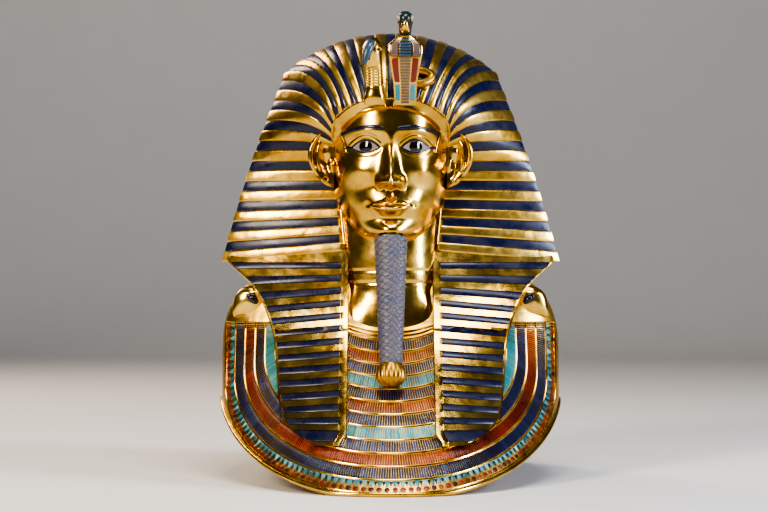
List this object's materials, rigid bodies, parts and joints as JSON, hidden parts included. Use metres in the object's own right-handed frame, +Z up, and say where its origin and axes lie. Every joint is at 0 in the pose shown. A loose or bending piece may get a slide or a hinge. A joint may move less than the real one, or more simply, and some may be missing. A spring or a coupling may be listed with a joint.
{
  "type": "egyptian mummy mask",
  "caption": "Hollow gold funerary mask with a striped headcloth, inlaid eyes, plaited beard, broad beaded collar and a vulture and cobra on the brow.",
  "frame": {"origin": "on the floor, under the middle of the mask's bounding box, as it stands on its lower rim", "axes": "+X to the right seen from the front, -Y the way the face looks, +Z up"},
  "size_m": [0.393, 0.49, 0.527],
  "materials": {
    "gold": "burnished sheet gold, bright, with fine tool marks",
    "blue_glass": "dark blue glass inlay, satin, slightly pitted",
    "turquoise": "turquoise glass and stone beads, satin",
    "carnelian": "red-orange carnelian beads, polished",
    "white_quartz": "polished white quartz",
    "obsidian": "polished black volcanic glass",
    "faience": "dull grey-blue glazed inlay with dark plait lines"
  },
  "bodies": {
    "root": {"mask_shell": "gold", "eye_white_right": "white_quartz", "pupil_right": "obsidian", "eye_line_right": "blue_glass", "eyebrow_right": "blue_glass", "eye_white_left": "white_quartz", "pupil_left": "obsidian", "eye_line_left": "blue_glass", "eyebrow_left": "blue_glass", "collar_row_1": "turquoise", "collar_row_2": "blue_glass", "collar_row_3": "carnelian", "collar_row_4_left": "blue_glass", "collar_row_4_middle": "blue_glass", "collar_row_4_right": "blue_glass", "collar_row_5_left": "turquoise", "collar_row_5_middle": "turquoise", "collar_row_5_right": "turquoise", "collar_row_6": "blue_glass", "collar_row_7": "carnelian", "collar_row_8": "blue_glass", "collar_row_9": "turquoise", "collar_row_10": "blue_glass", "collar_row_11": "carnelian", "collar_row_12": "blue_glass", "falcon_eye_right": "obsidian", "falcon_eye_left": "obsidian", "beard": "faience", "beard_tip": "gold", "vulture": "gold", "vulture_beak": "blue_glass", "cobra_hood": "gold", "cobra_head": "gold", "cobra_loop": "gold"}
  },
  "joints": []
}
